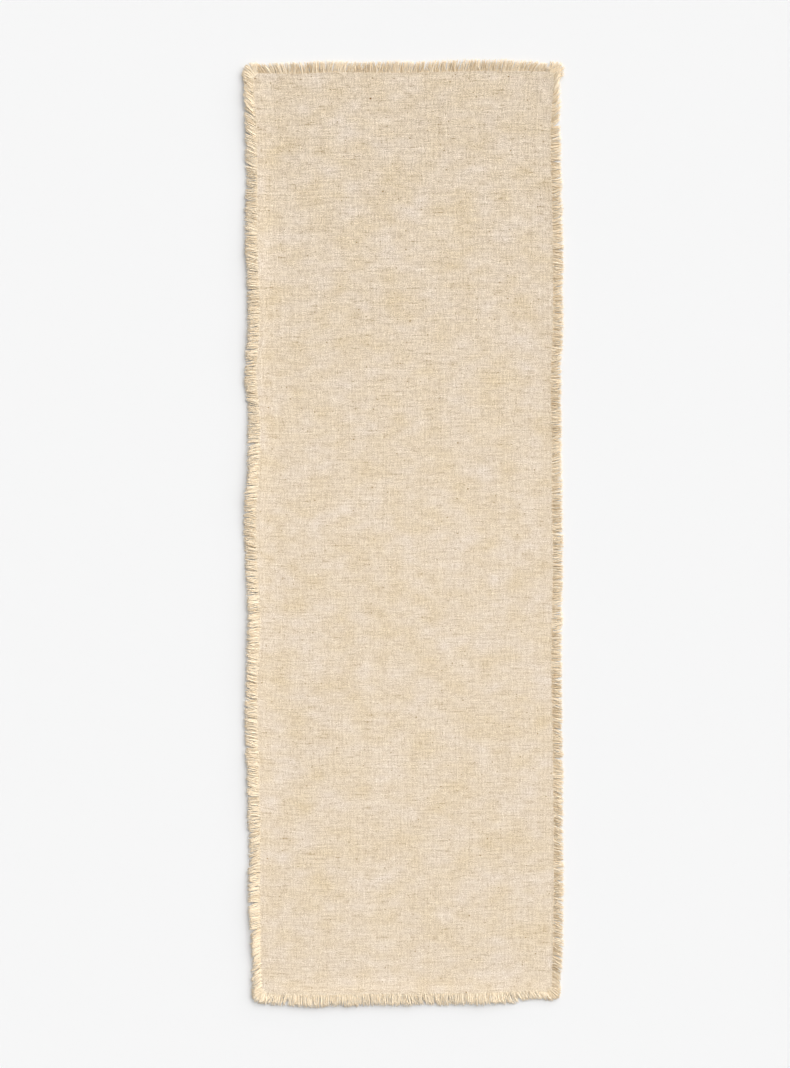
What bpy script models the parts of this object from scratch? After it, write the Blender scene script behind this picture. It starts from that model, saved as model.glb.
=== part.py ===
"""Table runner: one woven cloth with a short fringe of its own yarn ends on all four sides.

The runner lies flat with its underside at z = 0. X runs across its width, Y along its length.
The outermost yarns of the cloth have been drawn out, so the ends of the remaining yarns stand free:
warp ends at +Y and -Y, weft ends at -X and +X, and a small fan of both round each corner. A line of
lockstitch just inside the fringe stops the cloth from fraying further: its needle thread lies in the
upper face and its bobbin thread in the underside.
"""

import math

import bmesh
import bpy

# Overall sizes, tip to tip of the fringe, in metres.
RUNNER_WIDTH = 0.400
RUNNER_LENGTH = 1.200

# The woven cloth.
CLOTH_THICKNESS = 0.0012
CLOTH_CORNER_RADIUS = 0.004
CLOTH_EDGE_ROUNDING = 0.0003

# The fringe. A tuft is a bundle of neighbouring yarn ends that cling together.
FRINGE_LENGTH = 0.015
FRINGE_THICKNESS = 0.0010
FRINGE_TIP_THICKNESS = 0.0006
FRINGE_HEADER_WIDTH = 0.0016
FRINGE_CORNER_RADIUS = 0.015
TUFT_PITCH = 0.012
TUFT_GAP = 0.0018
TUFT_TIP_SHARE = 0.72
TUFTS_PER_CORNER = 5
CORNER_TUFT_FILL = 0.78
SHORTEST_TUFT_SHARE = 0.86

# The stay stitching.
THREAD_DIAMETER = 0.00025
STITCH_INSET = 0.0022
THREAD_SINK = 0.00005

# Gaps between pieces.
PIECE_GAP = 0.0003
THREAD_CLEARANCE = 0.00015

# How finely round shapes are drawn.
CORNER_STEPS = 6
THREAD_BEVEL_RESOLUTION = 2
SMALLEST_TURN = 0.0005

# Worked out from the sizes above.
CLOTH_HALF_WIDTH = RUNNER_WIDTH / 2 - FRINGE_LENGTH
CLOTH_HALF_LENGTH = RUNNER_LENGTH / 2 - FRINGE_LENGTH
CORNER_CENTRE_X = CLOTH_HALF_WIDTH - CLOTH_CORNER_RADIUS
CORNER_CENTRE_Y = CLOTH_HALF_LENGTH - CLOTH_CORNER_RADIUS
GROOVE_HALF_WIDTH = THREAD_DIAMETER / 2 + THREAD_CLEARANCE
GROOVE_DEPTH = THREAD_SINK + THREAD_DIAMETER + THREAD_CLEARANCE
TIP_SPREAD = CLOTH_CORNER_RADIUS + FRINGE_LENGTH - FRINGE_CORNER_RADIUS

# How far the lean of the tufts stays near zero in the middle of a side: higher is longer.
FAN_POWER = 2.0
GOLDEN_SHARE = (math.sqrt(5) - 1) / 2


def clear_scene():
    for thing in list(bpy.data.objects):
        bpy.data.objects.remove(thing, do_unlink=True)


def fabric_material(name, colour, roughness):
    material = bpy.data.materials.new(name)
    material.use_nodes = True
    shader = material.node_tree.nodes["Principled BSDF"]
    shader.inputs["Base Color"].default_value = (*colour, 1.0)
    shader.inputs["Roughness"].default_value = roughness
    shader.inputs["Metallic"].default_value = 0.0
    material.diffuse_color = (*colour, 1.0)
    return material


def add_object(name, data, material):
    piece = bpy.data.objects.new(name, data)
    data.materials.append(material)
    bpy.context.scene.collection.objects.link(piece)
    return piece


def finished_mesh(name, bm):
    """The bmesh as mesh data, its faces pointing out."""
    bmesh.ops.recalc_face_normals(bm, faces=bm.faces)
    mesh = bpy.data.meshes.new(name)
    bm.to_mesh(mesh)
    bm.free()
    return mesh


def cloth_outline(inset):
    """Points round the cloth's rounded rectangle, moved in by inset."""
    radius = max(CLOTH_CORNER_RADIUS - inset, SMALLEST_TURN)
    centre_x = CLOTH_HALF_WIDTH - inset - radius
    centre_y = CLOTH_HALF_LENGTH - inset - radius
    signs = ((1, 1), (-1, 1), (-1, -1), (1, -1))
    points = []
    for quarter, (sign_x, sign_y) in enumerate(signs):
        for step in range(CORNER_STEPS + 1):
            angle = math.radians(90) * (quarter + step / CORNER_STEPS)
            points.append(
                (
                    sign_x * centre_x + radius * math.cos(angle),
                    sign_y * centre_y + radius * math.sin(angle),
                )
            )
    return points


def ground_cloth_mesh():
    """A thin slab with a soft edge and a stitch groove in each face, as rings of one section."""
    top = CLOTH_THICKNESS
    groove_outer = STITCH_INSET - GROOVE_HALF_WIDTH
    groove_inner = STITCH_INSET + GROOVE_HALF_WIDTH
    section = (
        (groove_inner, 0.0),
        (groove_inner, GROOVE_DEPTH),
        (groove_outer, GROOVE_DEPTH),
        (groove_outer, 0.0),
        (CLOTH_EDGE_ROUNDING, 0.0),
        (0.0, CLOTH_EDGE_ROUNDING),
        (0.0, top - CLOTH_EDGE_ROUNDING),
        (CLOTH_EDGE_ROUNDING, top),
        (groove_outer, top),
        (groove_outer, top - GROOVE_DEPTH),
        (groove_inner, top - GROOVE_DEPTH),
        (groove_inner, top),
    )
    bm = bmesh.new()
    rings = []
    for inset, height in section:
        rings.append([bm.verts.new((x, y, height)) for x, y in cloth_outline(inset)])
    for ring, next_ring in zip(rings, rings[1:]):
        for i, vert in enumerate(ring):
            before = i - 1
            bm.faces.new((ring[before], vert, next_ring[i], next_ring[before]))
    bm.faces.new(rings[0])
    bm.faces.new(rings[-1])
    return finished_mesh("ground_cloth", bm)


def thread_curve(name, height):
    """A closed run of thread, parallel to the edge of the cloth at the stitch line."""
    curve = bpy.data.curves.new(name, "CURVE")
    curve.dimensions = "3D"
    curve.bevel_depth = THREAD_DIAMETER / 2
    curve.bevel_resolution = THREAD_BEVEL_RESOLUTION
    points = cloth_outline(STITCH_INSET)
    spline = curve.splines.new("POLY")
    spline.points.add(len(points) - 1)
    for target, (x, y) in zip(spline.points, points):
        target.co = (x, y, height, 1.0)
    spline.use_cyclic_u = True
    return curve


def tuft_length_share(place):
    """How much of the full fringe length a tuft has: 1 at place 0, and uneven after it."""
    uneven = (place * GOLDEN_SHARE) % 1.0
    return 1.0 - (1.0 - SHORTEST_TUFT_SHARE) * uneven


def between(start, end, share):
    return tuple(a + (b - a) * share for a, b in zip(start, end))


def comb_mesh(name, inner, outer, tips):
    """A flat comb: a header strip between two lines of points, with tufts along its outer line.

    Tuft number j grows from the stretch between outer[2j + 1] and outer[2j + 2] to the two points
    of tips[j], and thins towards them. The other stretches are the gaps between tufts.
    """
    bm = bmesh.new()

    def column(point, thickness=FRINGE_THICKNESS):
        """The lower and the upper vertex over a point in plan."""
        return bm.verts.new((*point, 0.0)), bm.verts.new((*point, thickness))

    def wall(first, second):
        bm.faces.new((first[0], second[0], second[1], first[1]))

    def floor_and_top(corners):
        bm.faces.new([low for low, _ in corners])
        bm.faces.new([high for _, high in corners])

    inner_columns = [column(point) for point in inner]
    outer_columns = [column(point) for point in outer]
    for k in range(len(inner) - 1):
        root = outer_columns[k], outer_columns[k + 1]
        floor_and_top((inner_columns[k], inner_columns[k + 1], root[1], root[0]))
        wall(inner_columns[k], inner_columns[k + 1])
        if k % 2 == 0:
            wall(*root)
            continue
        tip = [column(point, FRINGE_TIP_THICKNESS) for point in tips[k // 2]]
        floor_and_top((root[0], root[1], tip[1], tip[0]))
        wall(root[0], tip[0])
        wall(root[1], tip[1])
        wall(*tip)
    wall(inner_columns[0], outer_columns[0])
    wall(inner_columns[-1], outer_columns[-1])
    return finished_mesh(name, bm)


def side_fringe_mesh(name, corner_centre):
    """The fringe along one straight side, its cloth edge on y = 0 and its tips at +Y.

    corner_centre is how far the side's two corner arcs have their centres from its middle.
    Towards the corners the tips spread apart, as the ends of a washed fringe do.
    """
    half_run = corner_centre - PIECE_GAP
    count = round(2 * half_run / TUFT_PITCH)
    pitch = 2 * half_run / count
    root_y = PIECE_GAP + FRINGE_HEADER_WIDTH
    stations = [-half_run]
    tips = []
    for i in range(count):
        middle = (i + 0.5) * pitch - half_run
        half_root = (pitch - TUFT_GAP) / 2
        stations += [middle - half_root, middle + half_root]
        share = abs(middle) / corner_centre
        tip_x = middle + math.copysign(TIP_SPREAD * share**FAN_POWER, middle)
        length_share = tuft_length_share(int(abs(i - (count - 1) / 2)))
        tip_pair = []
        for side in (-1, 1):
            root = (middle + side * half_root, root_y)
            full_tip = (tip_x + side * half_root * TUFT_TIP_SHARE, FRINGE_LENGTH)
            tip_pair.append(between(root, full_tip, length_share))
        tips.append(tip_pair)
    stations.append(half_run)
    inner = [(x, PIECE_GAP) for x in stations]
    outer = [(x, root_y) for x in stations]
    return comb_mesh(name, inner, outer, tips)


def corner_fan_mesh(name):
    """The yarn ends that fan round one corner of the cloth, whose arc centre is the origin.

    The header is a quarter ring. The tips lie on the fringe's own rounder outline, which carries
    on from the outermost tufts of the two sides.
    """
    inner_radius = CLOTH_CORNER_RADIUS + PIECE_GAP
    root_radius = inner_radius + FRINGE_HEADER_WIDTH
    quarter = math.radians(90)
    pitch = quarter / TUFTS_PER_CORNER
    half_root = pitch * CORNER_TUFT_FILL / 2

    def on_arc(radius, angle, shift=0.0):
        return shift + radius * math.cos(angle), shift + radius * math.sin(angle)

    stations = [0.0]
    tips = []
    for i in range(TUFTS_PER_CORNER):
        middle = (i + 0.5) * pitch
        stations += [middle - half_root, middle + half_root]
        length_share = tuft_length_share(int(abs(i - (TUFTS_PER_CORNER - 1) / 2)))
        tip_pair = []
        for side in (-1, 1):
            root = on_arc(root_radius, middle + side * half_root)
            tip_angle = middle + side * half_root * TUFT_TIP_SHARE
            full_tip = on_arc(FRINGE_CORNER_RADIUS, tip_angle, TIP_SPREAD)
            tip_pair.append(between(root, full_tip, length_share))
        tips.append(tip_pair)
    stations.append(quarter)
    inner = [on_arc(inner_radius, angle) for angle in stations]
    outer = [on_arc(root_radius, angle) for angle in stations]
    return comb_mesh(name, inner, outer, tips)


def place(piece, x, y, quarter_turns):
    piece.location = (x, y, 0.0)
    piece.rotation_euler = (0.0, 0.0, math.radians(90 * quarter_turns))


def build_ground_cloth():
    cloth = fabric_material("woven_cloth", (0.767, 0.645, 0.497), 0.92)
    add_object("ground_cloth", ground_cloth_mesh(), cloth)


def build_side_fringes():
    sides = (
        ("fringe_far_end", CORNER_CENTRE_X, 0.0, CLOTH_HALF_LENGTH, 0),
        ("fringe_left_side", CORNER_CENTRE_Y, -CLOTH_HALF_WIDTH, 0.0, 1),
        ("fringe_near_end", CORNER_CENTRE_X, 0.0, -CLOTH_HALF_LENGTH, 2),
        ("fringe_right_side", CORNER_CENTRE_Y, CLOTH_HALF_WIDTH, 0.0, 3),
    )
    yarn = fabric_material("fringe_yarn", (0.760, 0.617, 0.434), 0.88)
    for name, corner_centre, x, y, quarter_turns in sides:
        piece = add_object(name, side_fringe_mesh(name, corner_centre), yarn)
        place(piece, x, y, quarter_turns)


def build_corner_fans():
    corners = (
        ("corner_fan_far_right", 1, 1),
        ("corner_fan_far_left", -1, 1),
        ("corner_fan_near_left", -1, -1),
        ("corner_fan_near_right", 1, -1),
    )
    yarn = fabric_material("corner_yarn", (0.748, 0.604, 0.423), 0.88)
    for quarter_turns, (name, sign_x, sign_y) in enumerate(corners):
        piece = add_object(name, corner_fan_mesh(name), yarn)
        place(piece, sign_x * CORNER_CENTRE_X, sign_y * CORNER_CENTRE_Y, quarter_turns)


def build_stay_stitching():
    depth = THREAD_SINK + THREAD_DIAMETER / 2
    threads = (("needle_thread", CLOTH_THICKNESS - depth), ("bobbin_thread", depth))
    cotton = fabric_material("sewing_thread", (0.780, 0.670, 0.520), 0.60)
    for name, height in threads:
        add_object(name, thread_curve(name, height), cotton)


def main():
    clear_scene()
    build_ground_cloth()
    build_side_fringes()
    build_corner_fans()
    build_stay_stitching()


main()
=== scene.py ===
"""A slubby woven table runner with a frayed fringe, laid flat on a pale floor and seen from straight above.

Lengths are in metres. A "flat" place is a point (x, y) on the cloth as cut, before it was laid down;
lay_flat() and cloth_lift() say where that point ends up on the floor.
"""

import math

import bpy
import numpy as np
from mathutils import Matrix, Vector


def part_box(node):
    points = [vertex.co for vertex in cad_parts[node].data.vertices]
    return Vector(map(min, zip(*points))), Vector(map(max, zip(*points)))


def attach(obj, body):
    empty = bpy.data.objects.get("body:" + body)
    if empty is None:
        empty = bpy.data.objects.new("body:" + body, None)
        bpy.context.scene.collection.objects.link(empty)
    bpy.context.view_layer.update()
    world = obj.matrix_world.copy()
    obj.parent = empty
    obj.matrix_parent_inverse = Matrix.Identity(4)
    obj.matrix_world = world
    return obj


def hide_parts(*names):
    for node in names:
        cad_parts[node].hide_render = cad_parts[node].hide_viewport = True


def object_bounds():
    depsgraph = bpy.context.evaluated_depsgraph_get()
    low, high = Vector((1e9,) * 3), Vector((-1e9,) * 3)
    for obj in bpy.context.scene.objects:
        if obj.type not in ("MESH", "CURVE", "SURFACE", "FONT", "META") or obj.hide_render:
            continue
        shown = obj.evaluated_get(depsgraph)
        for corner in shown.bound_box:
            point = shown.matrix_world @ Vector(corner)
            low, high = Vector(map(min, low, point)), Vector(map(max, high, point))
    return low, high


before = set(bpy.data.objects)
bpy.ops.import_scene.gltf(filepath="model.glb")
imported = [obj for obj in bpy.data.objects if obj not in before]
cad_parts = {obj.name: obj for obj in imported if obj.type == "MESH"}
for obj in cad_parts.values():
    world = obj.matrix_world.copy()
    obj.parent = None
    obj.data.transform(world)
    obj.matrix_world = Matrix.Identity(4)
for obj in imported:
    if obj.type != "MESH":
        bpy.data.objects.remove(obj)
CAD_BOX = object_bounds()

# The cloth and its fringe, as the CAD model has them
CLOTH_LOW, CLOTH_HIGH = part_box("ground_cloth")
HALF_WIDTH = CLOTH_HIGH.x
HALF_LENGTH = CLOTH_HIGH.y
CLOTH_THICKNESS = CLOTH_HIGH.z - CLOTH_LOW.z
FRINGE_LENGTH = CAD_BOX[1].x - HALF_WIDTH
STITCH_INSET = HALF_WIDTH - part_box("needle_thread")[1].x

# The cloth's own make
GRID_STEP = 0.0031
RIM_STEP = 0.0003
CORNER_ROUNDING = 0.006
WEAVE_PITCH = 0.0010
SLUB_RELIEF = 0.00010
BODY_LIFT = 0.0007
BODY_WAVE = 0.00012

# The fringe's make
YARN_RADIUS = 0.00050
YARN_LOBE = 0.22
YARN_TWIST = 1 / 0.009
YARN_SIDES = 5
YARN_RINGS = 8
YARN_PITCH = 0.00050
ROOT_DEPTH = 0.0026
LAYERS = 3
LAYER_STEP = 0.00035
BUNDLE_SINK = 0.0005
# How much darker the yarns at a tuft's flanks are painted, as painted shade where they sink between tufts
BUNDLE_PAINTED_SHADE = 0.42
BUNDLE_TIP_DROP = 0.2
DRIFT_POWER = 1.25
ARCH_POWER = 0.8
ROOT_GAUGE = 0.7
ROOT_TAPER_END = 0.2
TIP_TAPER_START = 0.55

# How uneven the fringe is: angles in radians, lengths in metres, the rest as shares. A RUN is how far
# along the edge a slow change reaches, a TUFT value is drawn once for a tuft, and a YARN value for a yarn.
PITCH_JITTER = 0.15
FULL_LENGTH = 1.04
LENGTH_WAVE = 0.10
LENGTH_RUN = 0.03
TUFT_LENGTH = 0.05
SWING_WAVE = 0.22
SWING_RUN = 0.045
TUFT_SWING = 0.14
YARN_SWING = 0.05
LAYER_SWING = 0.10
LAYER_SWING_RUN = 0.012
TIP_WAVE = 0.5
TIP_RUN = 0.05
TUFT_TIP = 0.0004
YARN_TIP = 0.0004
TUFT_ARCH = 0.35
YARN_ARCH = 0.0003
YARN_CURL = 0.05
TUFT_TONE = 0.22
YARN_TONE = 0.18
# Lower layers of yarn are painted darker and the top layer paler by this share: painted shade and light
LAYER_PAINTED_SHADE = 0.08
GAUGE_SPREAD = 0.18
SLUB_SPREAD = 0.12

# Hairs that stray out of their tuft
STRAY_SHARE = 0.08
STRAY_THICKNESS = 0.3
STRAY_SWING = 0.35
STRAY_CURL = 0.15
STRAY_LENGTHS = (-0.10, 0.18)
STRAY_ARCH = 0.0006

# The fan round each corner
CORNER_YARNS = 64
CORNER_TUFT = 7
CORNER_ROOT_DEPTH = 0.0045
CORNER_FREE_ENDS = 0.02
CORNER_TURN_JITTER = 0.012
CORNER_LENGTH = 0.90
CORNER_LENGTH_SPREAD = 0.06
CORNER_SWING = 0.08
CORNER_ARCH = 0.0002
CORNER_CURL = 0.06
CORNER_TONE = 0.15

# Where the fringe is worn short, as (place along the edge, half width, share of its length that is gone)
FAR_NOTCHES = ((0.1745, 0.0024, 0.45), (0.168, 0.012, 0.18), (-0.060, 0.0015, 0.25))
NEAR_NOTCHES = ((-0.1515, 0.0017, 0.50), (0.1395, 0.0020, 0.30), (0.163, 0.022, 0.24),
                (0.020, 0.0014, 0.30))
LEFT_NOTCHES = ((-0.530, 0.055, 0.16),)
RIGHT_NOTCHES = ()

# The stay stitching
STITCH_LENGTH = 0.0026
STITCH_GAP = 0.0008
THREAD_RADIUS = 0.000125
THREAD_SIDES = 5
THREAD_RINGS = 5
STITCH_CROWN = 1.6

# How far each edge bows from its straight line, as (place along it, distance towards +X or +Y)
LEFT_BOW = ((-0.60, 0.0045), (-0.50, 0.0015), (-0.38, 0.0015), (-0.32, 0.0002), (-0.20, -0.0022),
            (-0.115, 0.0015), (-0.04, -0.0022), (0.03, -0.0034), (0.06, -0.0011), (0.14, 0.0014),
            (0.21, -0.0032), (0.25, 0.0002), (0.29, 0.0010), (0.36, -0.0024), (0.45, -0.0016),
            (0.52, -0.0036), (0.60, -0.0094))
RIGHT_BOW = ((-0.60, 0.0020), (-0.50, 0.0044), (-0.26, 0.0036), (-0.16, 0.0020), (-0.04, 0.0038),
             (0.06, 0.0026), (0.125, 0.0024), (0.19, 0.0014), (0.26, 0.0036), (0.42, 0.0030),
             (0.505, 0.0010), (0.60, 0.0072))
NEAR_BOW = ((-0.20, 0.0030), (-0.165, -0.0002), (-0.11, -0.0010), (-0.06, 0.0004), (0.00, 0.0002),
            (0.05, 0.0012), (0.09, 0.0016), (0.14, 0.0034), (0.20, 0.0030))
FAR_BOW = ((-0.20, 0.0002), (-0.155, -0.0006), (-0.13, -0.0010), (-0.10, 0.0006), (0.00, 0.0008),
           (0.09, 0.0028), (0.13, 0.0026), (0.165, 0.0024), (0.20, 0.0005))

# How far each edge of the cloth lifts off the floor, as (place along it, height)
LEFT_LIFT = ((-0.60, 0.0012), (-0.45, 0.0016), (-0.30, 0.0020), (-0.12, 0.0018), (0.05, 0.0026),
             (0.20, 0.0030), (0.33, 0.0036), (0.47, 0.0032), (0.60, 0.0018))
RIGHT_LIFT = ((-0.60, 0.0004), (-0.20, 0.0007), (0.20, 0.0009), (0.45, 0.0012), (0.60, 0.0012))
NEAR_LIFT = ((-0.20, 0.0020), (-0.08, 0.0030), (0.04, 0.0028), (0.20, 0.0016))
FAR_LIFT = ((-0.20, 0.0006), (-0.05, 0.0001), (0.10, 0.0001), (0.20, 0.0008))
SIDE_LIFT_REACH = 0.013
END_LIFT_REACH = 0.012
LIFT_POWER = 1.6

# The slow waves in the cloth's height, in radians per metre, and how far each is bent by the other
WAVE_ACROSS = 31.0
WAVE_ALONG = 17.0
BEND_ACROSS = 23.0
BEND_ALONG = 9.0
BEND_OF_ACROSS = 2.0
BEND_OF_ALONG = 1.3

# Small creases in the cloth, as (x, y, direction in degrees, half length, half width, height)
CREASES = ((0.170, 0.555, -67, 0.011, 0.0026, 0.0010), (0.178, 0.560, -60, 0.008, 0.0030, -0.0004),
           (-0.176, 0.556, -48, 0.009, 0.0045, 0.0006),
           (0.160, 0.528, -70, 0.016, 0.0060, 0.0004), (-0.150, -0.540, 35, 0.014, 0.0060, 0.0004),
           (0.165, -0.548, 60, 0.012, 0.0050, 0.0004), (-0.168, 0.300, 80, 0.020, 0.0060, 0.0003))


def through(points, at):
    """The smooth line through a few (place, value) points, read at each place in `at`."""
    places, values = np.array(points, float).T
    slopes = np.gradient(values, places)
    at = np.clip(at, places[0], places[-1])
    left = np.clip(np.searchsorted(places, at) - 1, 0, len(places) - 2)
    gap = places[left + 1] - places[left]
    t = (at - places[left]) / gap
    from_values = (1 + 2 * t) * (1 - t) ** 2 * values[left] + t ** 2 * (3 - 2 * t) * values[left + 1]
    from_slopes = t * (1 - t) ** 2 * gap * slopes[left] - t ** 2 * (1 - t) * gap * slopes[left + 1]
    return from_values + from_slopes


def wander(at, spacing, rng):
    """A smooth random line between about -1 and 1 that changes over `spacing`, read at each place."""
    count = int(np.ptp(at) / spacing) + 3
    places = at.min() - spacing / 2 + spacing * np.arange(count)
    return through(np.column_stack([places, rng.uniform(-1, 1, count)]), at)


def ease(t):
    """0 to 1 with soft ends."""
    t = np.clip(t, 0, 1)
    return t * t * (3 - 2 * t)


def lay_flat(x, y):
    """Where the flat place (x, y) lies on the floor, seen from above."""
    across = ease((x / HALF_WIDTH + 1) / 2)
    along = ease((y / HALF_LENGTH + 1) / 2)
    shift_x = through(LEFT_BOW, y) * (1 - across) + through(RIGHT_BOW, y) * across
    shift_y = through(NEAR_BOW, x) * (1 - along) + through(FAR_BOW, x) * along
    return x + shift_x, y + shift_y


def cloth_lift(x, y):
    """How high the underside of the cloth stands above the floor at the flat place (x, y)."""
    def rise(distance_in, reach):
        return np.exp(-(np.maximum(distance_in, 0) / reach) ** LIFT_POWER)

    wave_across = np.sin(WAVE_ACROSS * x + BEND_OF_ACROSS * np.sin(BEND_ALONG * y))
    wave_along = np.sin(WAVE_ALONG * y + BEND_OF_ALONG * np.sin(BEND_ACROSS * x))
    lift = BODY_LIFT + BODY_WAVE * (wave_across * wave_along)
    edges = ((FAR_LIFT, x, HALF_LENGTH - y, END_LIFT_REACH),
             (NEAR_LIFT, x, HALF_LENGTH + y, END_LIFT_REACH),
             (RIGHT_LIFT, y, HALF_WIDTH - x, SIDE_LIFT_REACH),
             (LEFT_LIFT, y, HALF_WIDTH + x, SIDE_LIFT_REACH))
    for heights, place, distance_in, reach in edges:
        lift = lift + (through(heights, place) - lift) * rise(distance_in, reach)
    for middle_x, middle_y, degrees, half_long, half_wide, height in CREASES:
        ahead, aside = math.cos(math.radians(degrees)), math.sin(math.radians(degrees))
        down_it = ((x - middle_x) * ahead + (y - middle_y) * aside) / half_long
        off_it = ((y - middle_y) * ahead - (x - middle_x) * aside) / half_wide
        lift = lift + height * np.exp(-down_it ** 2 - off_it ** 2)
    return lift


def new_mesh(name, vertices, faces, soft):
    """An object from points and arrays of faces; `soft` says for each array if it is shaded smooth."""
    mesh = bpy.data.meshes.new(name)
    corners = np.concatenate([group.ravel() for group in faces]).astype(np.int32)
    sizes = np.concatenate([np.full(len(group), group.shape[1]) for group in faces])
    mesh.vertices.add(len(vertices))
    mesh.vertices.foreach_set("co", np.asarray(vertices, np.float32).ravel())
    mesh.loops.add(len(corners))
    mesh.loops.foreach_set("vertex_index", corners)
    mesh.polygons.add(len(sizes))
    starts = np.concatenate([[0], np.cumsum(sizes)[:-1]])
    mesh.polygons.foreach_set("loop_start", starts.astype(np.int32))
    mesh.polygons.foreach_set("loop_total", sizes.astype(np.int32))
    smooth = np.repeat(soft, [len(group) for group in faces])
    mesh.polygons.foreach_set("use_smooth", smooth)
    mesh.update(calc_edges=True)
    mesh.validate()
    made = bpy.data.objects.new(name, mesh)
    bpy.context.scene.collection.objects.link(made)
    return made


def add_map(piece, name, place_of_vertex):
    """A UV map that gives each corner the two numbers of its vertex."""
    layer = piece.data.uv_layers.new(name=name)
    corners = np.zeros(len(piece.data.loops), np.int32)
    piece.data.loops.foreach_get("vertex_index", corners)
    layer.data.foreach_set("uv", np.asarray(place_of_vertex, np.float32)[corners].ravel())


def add_piece(piece, node, material):
    """The piece stands for its CAD node, which it hides, and takes the given material."""
    piece.data.materials.append(material)
    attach(piece, "root")
    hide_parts(node)
    return piece


# Materials

FABRIC_SPECULAR = 0.12
FABRIC_SHEEN = 0.08
FABRIC_SHEEN_ROUGHNESS = 0.5


def add_node(tree, kind, inputs=(), **settings):
    """A shader node with its settings, and each input linked or set."""
    made = tree.nodes.new(kind)
    for key, value in settings.items():
        setattr(made, key, value)
    for key, value in dict(inputs).items():
        if isinstance(value, bpy.types.NodeSocket):
            tree.links.new(value, made.inputs[key])
        else:
            made.inputs[key].default_value = value
    return made


def reckon(tree, operation, *values):
    """One sum on sockets and numbers."""
    return add_node(tree, "ShaderNodeMath", dict(enumerate(values)), operation=operation).outputs[0]


def noise(tree, place, stretch, detail=2.0, roughness=0.5):
    """Noise from -1 to 1 with about `stretch` repeats per metre along each axis."""
    scaled = add_node(tree, "ShaderNodeVectorMath", {0: place, 1: stretch}, operation="MULTIPLY")
    made = add_node(tree, "ShaderNodeTexNoise",
                    {"Vector": scaled.outputs[0], "Scale": 1.0, "Detail": detail, "Roughness": roughness})
    return reckon(tree, "MULTIPLY_ADD", made.outputs["Fac"], 2.0, -1.0)


def weighted_sum(tree, start, *terms):
    """start plus each (weight, socket)."""
    total = start
    for weight, socket in terms:
        total = reckon(tree, "MULTIPLY_ADD", socket, weight, total)
    return total


def over(tree, value, level):
    """How far a socket stands above a level, and nothing below it."""
    return reckon(tree, "MAXIMUM", reckon(tree, "SUBTRACT", value, level), 0.0)


def fabric_shader(name, tint, roughness):
    """A new material, its node tree and its Principled shader, set for dry, slightly fuzzy yarn."""
    material = bpy.data.materials.new(name)
    material.use_nodes = True
    tree = material.node_tree
    shader = tree.nodes["Principled BSDF"]
    shader.inputs["Roughness"].default_value = roughness
    shader.inputs["Specular IOR Level"].default_value = FABRIC_SPECULAR
    shader.inputs["Sheen Weight"].default_value = FABRIC_SHEEN
    shader.inputs["Sheen Roughness"].default_value = FABRIC_SHEEN_ROUGHNESS
    shader.inputs["Sheen Tint"].default_value = (*tint, 1.0)
    return material, tree, shader


def tinted(tree, warm, pale, blend, shade):
    """A colour between two tints, times one factor or a red, a green and a blue one."""
    mixed = add_node(tree, "ShaderNodeMix",
                     {"Factor": blend, 6: (*warm, 1.0), 7: (*pale, 1.0)}, data_type="RGBA")
    shaded = add_node(tree, "ShaderNodeVectorMath", {0: mixed.outputs[2], 1: shade}, operation="MULTIPLY")
    return shaded.outputs[0]


def finish_shader(tree, shader, colour, roughness, height, depth):
    """Links the colour, the roughness and the bump to the shader."""
    bump = add_node(tree, "ShaderNodeBump", {"Height": height, "Distance": depth, "Strength": 1.0})
    tree.links.new(colour, shader.inputs["Base Color"])
    tree.links.new(roughness, shader.inputs["Roughness"])
    tree.links.new(bump.outputs["Normal"], shader.inputs["Normal"])


CLOTH_WARM = (0.776, 0.629, 0.434)
CLOTH_PALE = (0.790, 0.677, 0.561)
CLOTH_BUMP = 0.00016

# Repeats per metre across and along the cloth of each kind of unevenness in it
WEFT_SLUBS = (75.0, 450.0, 1.0)
WARP_SLUBS = (440.0, 110.0, 1.0)
LONG_WEFT_SLUBS = (14.0, 480.0, 1.0)
LONG_WARP_SLUBS = (480.0, 9.0, 1.0)
GRAIN = (720.0, 740.0, 1.0)
KNOTS = (310.0, 340.0, 1.0)
DASHES = (55.0, 420.0, 1.0)
MOTTLE = (22.0, 19.0, 1.0)
PATCHES = (34.0, 60.0, 1.0)

# How far the noise has to rise before there is a knot or a dash
KNOT_LEVEL = 0.45
DASH_LEVEL = 0.28

# How far slubs push the yarns sideways, in radians of the weave, and how square its pillows are
WEAVE_WANDER = 0.9
PILLOW_POWER = 0.5


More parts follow.
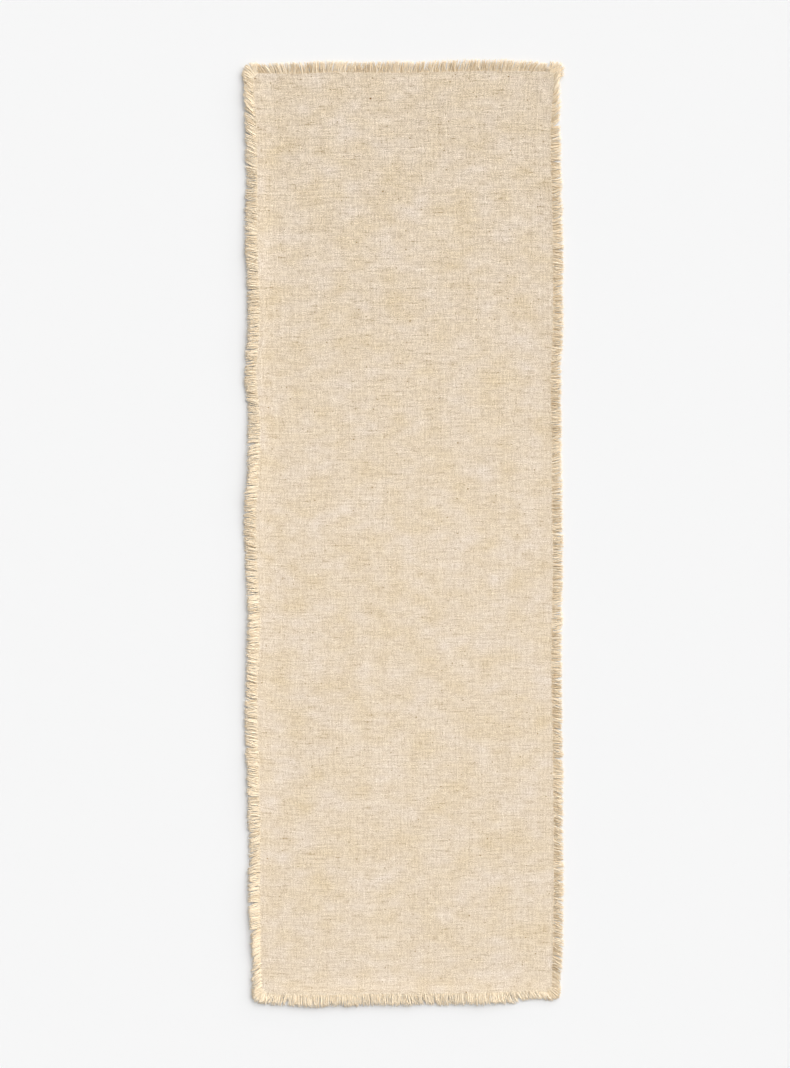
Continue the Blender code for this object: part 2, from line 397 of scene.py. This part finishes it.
def woven_material():
    """Plain weave of uneven yarn: thick and thin places, knots, dashes, and a pale and a yellow mottle."""
    material, tree, shader = fabric_shader("woven_cloth_visual", CLOTH_PALE, 0.9)
    flat = add_node(tree, "ShaderNodeUVMap", uv_map="flat_place").outputs[0]

    weft_slub = noise(tree, flat, WEFT_SLUBS, detail=1.5)
    warp_slub = noise(tree, flat, WARP_SLUBS, detail=1.5)
    long_weft = noise(tree, flat, LONG_WEFT_SLUBS, detail=1.0)
    long_warp = noise(tree, flat, LONG_WARP_SLUBS, detail=1.0)
    grain = noise(tree, flat, GRAIN, detail=1.0)
    knot = over(tree, noise(tree, flat, KNOTS, detail=0.0), KNOT_LEVEL)
    dash = over(tree, noise(tree, flat, DASHES, detail=0.5), DASH_LEVEL)
    mottle = noise(tree, flat, MOTTLE, detail=1.0)
    patch = noise(tree, flat, PATCHES, detail=1.0)

    parts = add_node(tree, "ShaderNodeSeparateXYZ", {0: flat})
    across = weighted_sum(tree, reckon(tree, "MULTIPLY", parts.outputs[0], math.pi / WEAVE_PITCH),
                          (WEAVE_WANDER, warp_slub))
    along = weighted_sum(tree, reckon(tree, "MULTIPLY", parts.outputs[1], math.pi / WEAVE_PITCH),
                         (WEAVE_WANDER, weft_slub))
    crossing = reckon(tree, "MULTIPLY", reckon(tree, "SINE", across), reckon(tree, "SINE", along))
    pillow = reckon(tree, "POWER", reckon(tree, "ABSOLUTE", crossing), PILLOW_POWER)

    uneven = weighted_sum(tree, 0.0, (0.15, weft_slub), (0.16, warp_slub), (0.10, long_weft),
                          (0.09, long_warp), (0.38, grain), (-1.1, knot), (-0.55, dash))
    # The cloth is made darker, and its grain stronger, towards the far end.
    toward_far_end = reckon(tree, "MAXIMUM", parts.outputs[1], 0.0)
    strength = weighted_sum(tree, 1.0, (0.60, toward_far_end))
    # The pillow term paints the weave's hollows darker than its crowns: painted shade.
    lightness = weighted_sum(tree, 0.935, (strength, uneven), (0.12, pillow), (0.02, crossing),
                             (0.03, mottle), (0.04, patch), (-0.12, toward_far_end))
    blend = weighted_sum(tree, 0.5, (0.65, mottle), (0.5, patch))
    green = weighted_sum(tree, lightness, (0.24, uneven))
    blue = weighted_sum(tree, lightness, (0.58, uneven))
    shade = add_node(tree, "ShaderNodeCombineXYZ", {0: lightness, 1: green, 2: blue}).outputs[0]
    colour = tinted(tree, CLOTH_WARM, CLOTH_PALE, blend, shade)
    rough = weighted_sum(tree, 0.88, (0.06, grain), (-0.05, pillow))
    height = weighted_sum(tree, 0.0, (0.5, pillow), (0.6, weft_slub), (0.4, warp_slub), (0.4, grain))
    finish_shader(tree, shader, colour, rough, height, CLOTH_BUMP)
    return material


YARN_WARM = (0.91, 0.70, 0.44)
YARN_PALE = (0.94, 0.83, 0.66)
YARN_BUMP = 0.00006
YARN_FIBRES = (900.0, 900.0, 900.0)


def yarn_material():
    """Loose spun yarn, each end its own tone with painted shade and light in it, and nearest the cloth's
    tint where it leaves it.
    """
    material, tree, shader = fabric_shader("fringe_yarn_visual", YARN_PALE, 0.9)
    own = add_node(tree, "ShaderNodeUVMap", uv_map="yarn_place").outputs[0]
    parts = add_node(tree, "ShaderNodeSeparateXYZ", {0: own})
    place = add_node(tree, "ShaderNodeTexCoord").outputs["Object"]
    fibre = noise(tree, place, YARN_FIBRES)
    along, tone = parts.outputs[0], parts.outputs[1]
    near_root = reckon(tree, "POWER", reckon(tree, "SUBTRACT", 1.0, along), 3.0)
    # A lower tone paints the yarn darker, so the painted shade and light that the tone carries show here.
    lightness = weighted_sum(tree, 0.76, (0.28, tone), (0.06, fibre))
    blend = weighted_sum(tree, 0.02, (0.74, tone), (0.15, near_root), (0.1, fibre))
    colour = tinted(tree, YARN_WARM, YARN_PALE, blend, lightness)
    rough = weighted_sum(tree, 0.9, (0.06, fibre))
    finish_shader(tree, shader, colour, rough, fibre, YARN_BUMP)
    return material


THREAD_WARM = (0.74, 0.62, 0.47)
THREAD_PALE = (0.80, 0.69, 0.54)
THREAD_BUMP = 0.00002
THREAD_FIBRES = (3000.0, 3000.0, 3000.0)
THREAD_SHADES = (90.0, 90.0, 90.0)


def thread_material():
    """Fine sewing thread in the colour of the cloth."""
    material, tree, shader = fabric_shader("sewing_thread_visual", THREAD_PALE, 0.7)
    place = add_node(tree, "ShaderNodeTexCoord").outputs["Object"]
    fibre = noise(tree, place, THREAD_FIBRES)
    shade = noise(tree, place, THREAD_SHADES)
    colour = tinted(tree, THREAD_WARM, THREAD_PALE, weighted_sum(tree, 0.5, (0.5, shade)),
                    weighted_sum(tree, 0.95, (0.1, fibre)))
    finish_shader(tree, shader, colour, weighted_sum(tree, 0.72, (0.1, fibre)), fibre, THREAD_BUMP)
    return material


# The woven cloth

def grid_lines(half):
    """Places a grid step apart, and one just inside each rim, so that the rim's shading stays narrow."""
    lines = np.linspace(-half, half, 2 * int(round(half / GRID_STEP)) + 1)
    return np.sort(np.append(lines, (RIM_STEP - half, half - RIM_STEP)))


def round_corners(x, y):
    """Draws the grid's square corners in to arcs."""
    over_x = np.maximum(np.abs(x) - (HALF_WIDTH - CORNER_ROUNDING), 0) / CORNER_ROUNDING
    over_y = np.maximum(np.abs(y) - (HALF_LENGTH - CORNER_ROUNDING), 0) / CORNER_ROUNDING
    in_x = over_x * (1 - np.sqrt(1 - over_y ** 2 / 2)) * CORNER_ROUNDING
    in_y = over_y * (1 - np.sqrt(1 - over_x ** 2 / 2)) * CORNER_ROUNDING
    return x - np.sign(x) * in_x, y - np.sign(y) * in_y


def cloth_piece(material):
    """The cloth as one closed sheet: a grid for each face, joined round the edge."""
    rng = np.random.default_rng(11)
    square_x, square_y = np.meshgrid(grid_lines(HALF_WIDTH), grid_lines(HALF_LENGTH))
    flat_x, flat_y = round_corners(square_x, square_y)
    laid_x, laid_y = lay_flat(flat_x, flat_y)
    lift = cloth_lift(flat_x, flat_y)
    distance_in = np.minimum(HALF_WIDTH - np.abs(square_x), HALF_LENGTH - np.abs(square_y))
    relief = SLUB_RELIEF * rng.uniform(-1, 1, flat_x.shape) * np.minimum(distance_in / GRID_STEP, 1)
    faces = [np.stack([laid_x, laid_y, lift + CLOTH_THICKNESS + relief], -1),
             np.stack([laid_x, laid_y, lift], -1)]

    count = flat_x.size
    index = np.arange(count).reshape(flat_x.shape)
    top = np.stack([index[:-1, :-1], index[:-1, 1:], index[1:, 1:], index[1:, :-1]], -1).reshape(-1, 4)
    ring = np.concatenate([index[0, :-1], index[:-1, -1], index[-1, :0:-1], index[:0:-1, 0]])
    after = np.roll(ring, -1)
    edge = np.stack([ring + count, after + count, after, ring], -1)
    vertices = np.concatenate([face.reshape(-1, 3) for face in faces])
    piece = new_mesh("woven_cloth", vertices, [top, top[:, ::-1] + count, edge], (True, True, False))
    flat = np.stack([flat_x, flat_y], -1).reshape(-1, 2)
    add_map(piece, "flat_place", np.concatenate([flat, flat]))
    return add_piece(piece, "ground_cloth", material)


# The fringe

def unit(vectors):
    return vectors / np.linalg.norm(vectors, axis=-1, keepdims=True)


def tube_mesh(name, paths, radii, lobe, twist, sides, phase, tone):
    """Closed tubes along paths (tube, ring, xyz), kept off the floor, each a little two-lobed and turned.

    phase is each tube's own turn at its start, as a share of a whole turn. tone is its tone at each ring,
    which for the fringe's yarns also carries painted shade and light.
    """
    tubes, rings = paths.shape[:2]
    off_floor = np.maximum(paths[..., 2], radii * (1 + lobe))
    paths = np.concatenate([paths[..., :2], off_floor[..., None]], -1)
    forward = unit(np.gradient(paths, axis=1))
    beside = unit(np.cross(forward, (0.0, 0.0, 1.0)))
    above = np.cross(beside, forward)
    run = np.concatenate([np.zeros((tubes, 1)),
                          np.cumsum(np.linalg.norm(np.diff(paths, axis=1), axis=-1), axis=1)], axis=1)
    around = 2 * math.pi * np.arange(sides) / sides
    turn = 2 * math.pi * (run * twist + phase[:, None])
    radius = radii[..., None] * (1 + lobe * np.cos(2 * (around - turn[..., None])))
    points = (paths[:, :, None]
              + (radius * np.cos(around))[..., None] * beside[:, :, None]
              + (radius * np.sin(around))[..., None] * above[:, :, None])

    index = np.arange(tubes * rings * sides).reshape(tubes, rings, sides)
    after = np.roll(index, -1, axis=2)
    walls = np.stack([index[:, :-1], after[:, :-1], after[:, 1:], index[:, 1:]], -1).reshape(-1, 4)
    ends = np.concatenate([index[:, 0, ::-1], index[:, -1]])
    piece = new_mesh(name, points.reshape(-1, 3), [walls, ends], (True, True))
    share = np.broadcast_to((run / run[:, -1:])[..., None], (tubes, rings, sides))
    own_tone = np.broadcast_to(tone[..., None], (tubes, rings, sides))
    add_map(piece, "yarn_place", np.stack([share, own_tone], -1).reshape(-1, 2))
    return piece


def yarn_paths(flat, depth, outward, sideways, lengths, swing, level, tip_height, arch, curl):
    """Paths from inside the cloth to the tips, for yarns that leave it at the flat places `flat`.

    Every other argument but depth has one entry per yarn, and angles are in radians.
    """
    w = np.linspace(-depth / FRINGE_LENGTH, 1, YARN_RINGS)[None, :]
    free = np.maximum(w, 0)
    reach = np.where(w > 0, lengths[:, None] * np.cos(swing)[:, None], FRINGE_LENGTH) * w
    drift = lengths[:, None] * (np.sin(swing)[:, None] * free ** DRIFT_POWER
                                + curl[:, None] * np.sin(math.pi * free))
    laid = np.stack(lay_flat(flat[:, 0], flat[:, 1]), -1)
    place = laid[:, None] + reach[..., None] * outward[:, None] + drift[..., None] * sideways[:, None]
    within = flat[:, None] + (np.minimum(w, 0) * FRINGE_LENGTH)[..., None] * outward[:, None]
    root = cloth_lift(within[..., 0], within[..., 1]) + CLOTH_THICKNESS / 2
    face = root + CLOTH_THICKNESS / 2 + level[:, None]
    height = (root + (face - root) * ease(1 + w * FRINGE_LENGTH / depth)
              + (tip_height[:, None] - face) * ease(free)
              + arch[:, None] * np.sin(math.pi * free ** ARCH_POWER))
    return np.concatenate([place, height[..., None]], -1)


def tuft_layout(at, spacing, rng):
    """For each place along an edge: its tuft's number and middle, and how near the tuft's side it is."""
    bounds = [at.min() - spacing]
    while bounds[-1] < at.max() + spacing:
        bounds.append(bounds[-1] + spacing * rng.uniform(0.6, 1.4))
    bounds = np.array(bounds)
    number = np.searchsorted(bounds, at) - 1
    middle = (bounds[number] + bounds[number + 1]) / 2
    return number, middle, np.abs(at - middle) / (bounds[number + 1] - middle)


def layered(look, stack, flank):
    """How far each yarn stands above the cloth's face where it leaves it, from its layer and its tuft."""
    return look["rise"] + LAYER_STEP * (LAYERS - 1) * (stack - 1) - BUNDLE_SINK * flank


def side_fringe(name, node, along, outward, half, edge_half, look, notches, seed, material):
    """The free yarn ends along one straight edge of the cloth."""
    rng = np.random.default_rng(seed)
    straight = half - CORNER_ROUNDING
    count = int(2 * straight / YARN_PITCH)
    at = np.linspace(-straight, straight, count)
    at = at + YARN_PITCH * PITCH_JITTER * rng.uniform(-1, 1, count)
    along, outward = np.array(along, float), np.array(outward, float)
    flat = at[:, None] * along + edge_half * outward

    number, middle, out_of_middle = tuft_layout(at, look["tuft"], rng)
    flank = look["bundle"] * out_of_middle ** 2
    per_tuft = rng.uniform(-1, 1, (4, number.max() + 1))[:, number]
    untidy = look["untidy"]
    stack = np.arange(count) % LAYERS / (LAYERS - 1)

    shares = FULL_LENGTH - LENGTH_WAVE * np.abs(wander(at, LENGTH_RUN, rng)) + TUFT_LENGTH * per_tuft[0]
    shares = shares + look["ragged"] * rng.uniform(-1, 1, count)
    lengths = (FRINGE_LENGTH - look["short"]) * shares
    for notch_place, notch_half, gone in notches:
        lengths = lengths * (1 - gone * np.exp(-((at - notch_place) / notch_half) ** 4))

    corner_lean = look["lean"] * np.sign(at) * np.abs(at / half) ** look["lean_power"]
    swing = (corner_lean + SWING_WAVE * wander(at, SWING_RUN, rng)
             + untidy * (TUFT_SWING * per_tuft[1] + YARN_SWING * rng.normal(size=count))
             + look["gather"] * (middle - at) / FRINGE_LENGTH
             + LAYER_SWING * (2 * stack - 1) * wander(at, LAYER_SWING_RUN, rng))

    tip_height = look["tip"] * (1 + TIP_WAVE * wander(at, TIP_RUN, rng)) + untidy * TUFT_TIP * per_tuft[2]
    tip_height = (np.maximum(tip_height, 0) * (1 - BUNDLE_TIP_DROP * flank) + YARN_RADIUS
                  + LAYER_STEP * (LAYERS - 1) * stack + untidy * YARN_TIP * rng.uniform(0, 1, count))
    arch = look["arch"] * (1 + TUFT_ARCH * per_tuft[3]) + untidy * YARN_ARCH * rng.normal(size=count)
    curl = YARN_CURL * rng.normal(size=count)

    stray = rng.uniform(size=count) < STRAY_SHARE
    swing = swing + stray * rng.normal(scale=STRAY_SWING, size=count)
    curl = curl + stray * rng.normal(scale=STRAY_CURL, size=count)
    lengths = lengths * (1 + stray * rng.uniform(*STRAY_LENGTHS, count))
    arch = arch + stray * STRAY_ARCH
    paths = yarn_paths(flat, ROOT_DEPTH, np.broadcast_to(outward, flat.shape),
                       np.broadcast_to(along, flat.shape), lengths, swing, layered(look, stack, flank),
                       tip_height, arch, curl)

    # Lower layers and the yarns at a tuft's flanks are painted darker, and the top layer paler: painted
    # shade and light.
    own_tone = untidy * (TUFT_TONE * per_tuft[0] + YARN_TONE * rng.normal(size=count))
    tone = yarn_tone_and_painted_light(look, own_tone + LAYER_PAINTED_SHADE * (2 * stack - 1) - BUNDLE_PAINTED_SHADE * flank)
    radii = yarn_radii(count, look["frayed"], rng) * np.where(stray, STRAY_THICKNESS, 1)[:, None]
    phase = rng.uniform(size=count)
    piece = tube_mesh(name, paths, radii, YARN_LOBE, YARN_TWIST, YARN_SIDES, phase, tone)
    return add_piece(piece, node, material)


def yarn_tone_and_painted_light(look, own):
    """Each yarn's tone at each ring, from 0 (golden) to 1 (cream): its own colour with painted shade and
    light in it.
    """
    run = np.linspace(0, 1, YARN_RINGS)
    even = look["root_tone"] + (look["tip_tone"] - look["root_tone"]) * run
    return np.clip(even + own[:, None], 0, 1)


def yarn_radii(count, frayed, rng):
    """Each yarn's radius at each ring: its gauge, with thick places, thinned by `frayed` at its tip."""
    w = np.linspace(0, 1, YARN_RINGS)
    own = YARN_RADIUS * (1 + GAUGE_SPREAD * rng.normal(size=(count, 1)).clip(-1.5, 1.5))
    slub = 1 + SLUB_SPREAD * rng.normal(size=(count, YARN_RINGS)).clip(-2, 2)
    root_taper = ROOT_GAUGE + (1 - ROOT_GAUGE) * ease(w / ROOT_TAPER_END)
    tip_taper = 1 - frayed * ease((w - TIP_TAPER_START) / (1 - TIP_TAPER_START))
    return own * slub * root_taper * tip_taper


def corner_fringe(name, node, side, end, look, seed, material):
    """The yarn ends that spread round one corner of the cloth."""
    rng = np.random.default_rng(seed)
    count = CORNER_YARNS
    turn = np.linspace(CORNER_FREE_ENDS, 1 - CORNER_FREE_ENDS, count)
    angle = (turn + CORNER_TURN_JITTER * rng.normal(size=count)) * math.pi / 2
    outward = np.stack([side * np.cos(angle), end * np.sin(angle)], -1)
    sideways = np.stack([-side * np.sin(angle), end * np.cos(angle)], -1)
    centre = np.array([side * (HALF_WIDTH - CORNER_ROUNDING), end * (HALF_LENGTH - CORNER_ROUNDING)])
    flat = centre + outward * CORNER_ROUNDING

    own_length = CORNER_LENGTH_SPREAD * rng.normal(size=count).clip(-1.5, 1.2)
    shares = CORNER_LENGTH + own_length + look["point"] * np.sin(2 * angle) ** 4
    lengths = (FRINGE_LENGTH - look["short"]) * shares
    tuft = np.arange(count) // CORNER_TUFT
    out_of_middle = 2 * (np.arange(count) % CORNER_TUFT) / (CORNER_TUFT - 1) - 1
    flank = look["bundle"] * out_of_middle ** 2
    per_tuft = rng.uniform(-1, 1, tuft.max() + 1)[tuft]
    stack = np.arange(count) % LAYERS / (LAYERS - 1)
    swing = CORNER_SWING * rng.normal(size=count) + CORNER_SWING * per_tuft
    tip_height = (look["tip"] * (1 - BUNDLE_TIP_DROP * flank) + YARN_RADIUS
                  + LAYER_STEP * (LAYERS - 1) * stack + YARN_TIP * rng.uniform(0, 1, count))
    arch = look["arch"] + CORNER_ARCH * rng.normal(size=count)
    curl = CORNER_CURL * rng.normal(size=count)
    paths = yarn_paths(flat, CORNER_ROOT_DEPTH, outward, sideways, lengths, swing,
                       layered(look, stack, flank), tip_height, arch, curl)

    own_tone = CORNER_TONE * per_tuft + YARN_TONE * rng.normal(size=count)
    # The yarns at a tuft's flanks are painted darker: painted shade.
    tone = yarn_tone_and_painted_light(look, own_tone - BUNDLE_PAINTED_SHADE * flank)
    radii = yarn_radii(count, look["frayed"], rng)
    phase = rng.uniform(size=count)
    piece = tube_mesh(name, paths, radii, YARN_LOBE, YARN_TWIST, YARN_SIDES, phase, tone)
    return add_piece(piece, node, material)


# How each side's fringe looks. In metres: tuft is the width of a tuft, short is what the yarns lack of the
# full length, rise is how far above the cloth's face they leave it, tip is how high their tips stand, and
# arch is how far they bow up on the way. gather is how strongly a tuft draws together, and lean is how far
# the yarns swing towards the corners, in radians. As shares: bundle is how round a tuft is and how much
# darker its flanks are painted, ragged is how uneven the lengths are, frayed is how far the tips thin,
# untidy scales what differs from yarn to yarn, and point is how far the fan fills out its corner. The tones
# run from 0 (golden) to 1 (cream). They are partly the yarn's own colour and partly painted light: the
# left and near fringes are given paler tones and the right and far ones darker for how each side is lit,
# and the paler tips are partly a painted highlight.
LEFT_LOOK = {
    "tuft": 0.0046, "short": 0.0004, "rise": 0.0000, "tip": 0.0032, "arch": 0.0005,
    "gather": 0.14, "lean": 0.70, "lean_power": 4, "bundle": 0.80, "ragged": 0.10, "frayed": 0.35,
    "untidy": 1.00, "point": 0.12, "root_tone": 0.84, "tip_tone": 1.20,
}
RIGHT_LOOK = {
    "tuft": 0.0042, "short": 0.0020, "rise": -0.0001, "tip": 0.0012, "arch": 0.0003,
    "gather": 0.12, "lean": 0.70, "lean_power": 4, "bundle": 1.00, "ragged": 0.08, "frayed": 0.50,
    "untidy": 1.30, "point": 0.22, "root_tone": 0.70, "tip_tone": 0.95,
}
FAR_LOOK = {
    "tuft": 0.0040, "short": 0.0010, "rise": -0.0001, "tip": 0.0012, "arch": 0.0002,
    "gather": 0.15, "lean": 0.55, "lean_power": 3, "bundle": 1.00, "ragged": 0.09, "frayed": 0.60,
    "untidy": 1.20, "point": 0.30, "root_tone": 0.68, "tip_tone": 0.92,
}
NEAR_LOOK = {
    "tuft": 0.0060, "short": 0.0010, "rise": -0.0002, "tip": 0.0024, "arch": 0.0000,
    "gather": 0.10, "lean": 0.55, "lean_power": 3, "bundle": 0.12, "ragged": 0.15, "frayed": 0.32,
    "untidy": 0.38, "point": 0.25, "root_tone": 0.88, "tip_tone": 1.25,
}

# Each side as name, CAD node, along it, outward, half its length, its distance out, look, notches and seed
SIDES = (
    ("left_fringe", "fringe_left_side", (0, 1), (-1, 0), HALF_LENGTH, HALF_WIDTH,
     LEFT_LOOK, LEFT_NOTCHES, 21),
    ("right_fringe", "fringe_right_side", (0, 1), (1, 0), HALF_LENGTH, HALF_WIDTH,
     RIGHT_LOOK, RIGHT_NOTCHES, 22),
    ("far_fringe", "fringe_far_end", (1, 0), (0, 1), HALF_WIDTH, HALF_LENGTH,
     FAR_LOOK, FAR_NOTCHES, 23),
    ("near_fringe", "fringe_near_end", (1, 0), (0, -1), HALF_WIDTH, HALF_LENGTH,
     NEAR_LOOK, NEAR_NOTCHES, 24),
)

# Each corner as name, CAD node, its side along X, its end along Y, look and seed
CORNERS = (
    ("far_left_fan", "corner_fan_far_left", -1, 1, LEFT_LOOK, 31),
    ("far_right_fan", "corner_fan_far_right", 1, 1, FAR_LOOK, 32),
    ("near_left_fan", "corner_fan_near_left", -1, -1, NEAR_LOOK, 33),
    ("near_right_fan", "corner_fan_near_right", 1, -1, RIGHT_LOOK, 34),
)


# The stay stitching

def stitch_loop(name, node, face_height, sign, material, seed):
    """Separate stitches in a line just inside the fringe, on one face of the cloth."""
    rng = np.random.default_rng(seed)
    half_x, half_y = HALF_WIDTH - STITCH_INSET, HALF_LENGTH - STITCH_INSET
    step = STITCH_LENGTH + STITCH_GAP
    sides = [((1, 0), (0, -half_y), half_x), ((0, 1), (half_x, 0), half_y),
             ((-1, 0), (0, half_y), half_x), ((0, -1), (-half_x, 0), half_y)]
    w = np.linspace(-0.5, 0.5, THREAD_RINGS)
    flats = []
    for direction, middle, half in sides:
        count = int(2 * (half - CORNER_ROUNDING) / step)
        at = (np.arange(count) - (count - 1) / 2) * step
        along = (at[:, None] + w * STITCH_LENGTH)[..., None]
        flats.append(np.array(middle) + along * np.array(direction, float))
    flat = np.concatenate(flats)
    laid_x, laid_y = lay_flat(flat[..., 0], flat[..., 1])
    bend = THREAD_RADIUS * STITCH_CROWN * (1 - (2 * w) ** 2) - THREAD_RADIUS
    height = cloth_lift(flat[..., 0], flat[..., 1]) + face_height + sign * bend
    paths = np.stack([laid_x, laid_y, np.broadcast_to(height, laid_x.shape)], -1)
    count = len(paths)
    radii = np.full((count, THREAD_RINGS), THREAD_RADIUS)
    tone = np.full((count, THREAD_RINGS), 0.5)
    piece = tube_mesh(name, paths, radii, 0.0, 0.0, THREAD_SIDES, rng.uniform(0, 1, count), tone)
    return add_piece(piece, node, material)


# Floor, light and camera

FLOOR_HALF = 40.0
FLOOR_GAP = 0.00005
FLOOR_COLOUR = (0.90, 0.90, 0.90)
BACKDROP_HEIGHT = 20.0
BACKDROP_BRIGHTNESS = 0.93
WORLD_BRIGHTNESS = 0.38
SUN_STRENGTH = 3.85
SUN_HEIGHT = math.radians(32)
SUN_AZIMUTH = math.radians(44)
SUN_WIDTH = math.radians(80)
CAMERA_LENS = 85.0
CAMERA_SENSOR = 36.0
FRAME_HEIGHT = 1.3569
CAMERA_OFFSET = (-0.01175, -0.0006)


def floor_corners(height):
    half = FLOOR_HALF
    return [(-half, -half, height), (half, -half, height), (half, half, height), (-half, half, height)]


def add_floor():
    floor = new_mesh("floor", np.array(floor_corners(-FLOOR_GAP)), [np.array([[0, 1, 2, 3]])], (False,))
    material = bpy.data.materials.new("floor_paint")
    material.use_nodes = True
    shader = material.node_tree.nodes["Principled BSDF"]
    shader.inputs["Base Color"].default_value = (*FLOOR_COLOUR, 1.0)
    shader.inputs["Roughness"].default_value = 1.0
    shader.inputs["Specular IOR Level"].default_value = 0.0
    floor.data.materials.append(material)


def add_backdrop():
    """Walls round the floor that the camera sees, but that neither block nor give light."""
    corners = np.array(floor_corners(-FLOOR_GAP) + floor_corners(BACKDROP_HEIGHT))
    walls = np.array([[0, 1, 5, 4], [1, 2, 6, 5], [2, 3, 7, 6], [3, 0, 4, 7]])
    backdrop = new_mesh("backdrop", corners, [walls], (False,))
    material = bpy.data.materials.new("backdrop_paint")
    material.use_nodes = True
    shader = material.node_tree.nodes["Principled BSDF"]
    shader.inputs["Base Color"].default_value = (0.0, 0.0, 0.0, 1.0)
    shader.inputs["Specular IOR Level"].default_value = 0.0
    shader.inputs["Emission Color"].default_value = (1.0, 1.0, 1.0, 1.0)
    shader.inputs["Emission Strength"].default_value = BACKDROP_BRIGHTNESS
    backdrop.data.materials.append(material)
    backdrop.visible_diffuse = False
    backdrop.visible_glossy = False
    backdrop.visible_shadow = False


def add_light():
    world = bpy.data.worlds.new("studio")
    world.use_nodes = True
    background = world.node_tree.nodes["Background"]
    background.inputs["Color"].default_value = (1.0, 1.0, 1.0, 1.0)
    background.inputs["Strength"].default_value = WORLD_BRIGHTNESS
    bpy.context.scene.world = world
    sun = bpy.data.lights.new("soft_light", "SUN")
    sun.energy = SUN_STRENGTH
    sun.angle = SUN_WIDTH
    lamp = bpy.data.objects.new("soft_light", sun)
    lamp.rotation_euler = (math.pi / 2 - SUN_HEIGHT, 0.0, math.pi - SUN_AZIMUTH)
    bpy.context.scene.collection.objects.link(lamp)


def add_camera():
    data = bpy.data.cameras.new("camera")
    data.lens = CAMERA_LENS
    data.sensor_width = CAMERA_SENSOR
    camera = bpy.data.objects.new("camera", data)
    camera.location = (*CAMERA_OFFSET, CLOTH_THICKNESS + FRAME_HEIGHT * CAMERA_LENS / CAMERA_SENSOR)
    bpy.context.scene.collection.objects.link(camera)
    bpy.context.scene.camera = camera


def main():
    bpy.context.scene.view_settings.view_transform = "Standard"
    add_floor()
    add_backdrop()
    add_light()
    add_camera()
    woven, yarn, thread = woven_material(), yarn_material(), thread_material()
    cloth = cloth_piece(woven)
    trims = [side_fringe(*side, yarn) for side in SIDES]
    trims += [corner_fringe(*corner, yarn) for corner in CORNERS]
    trims += [
        stitch_loop("needle_stitches", "needle_thread", CLOTH_THICKNESS, 1, thread, 41),
        stitch_loop("bobbin_stitches", "bobbin_thread", 0.0, -1, thread, 42),
    ]


main()
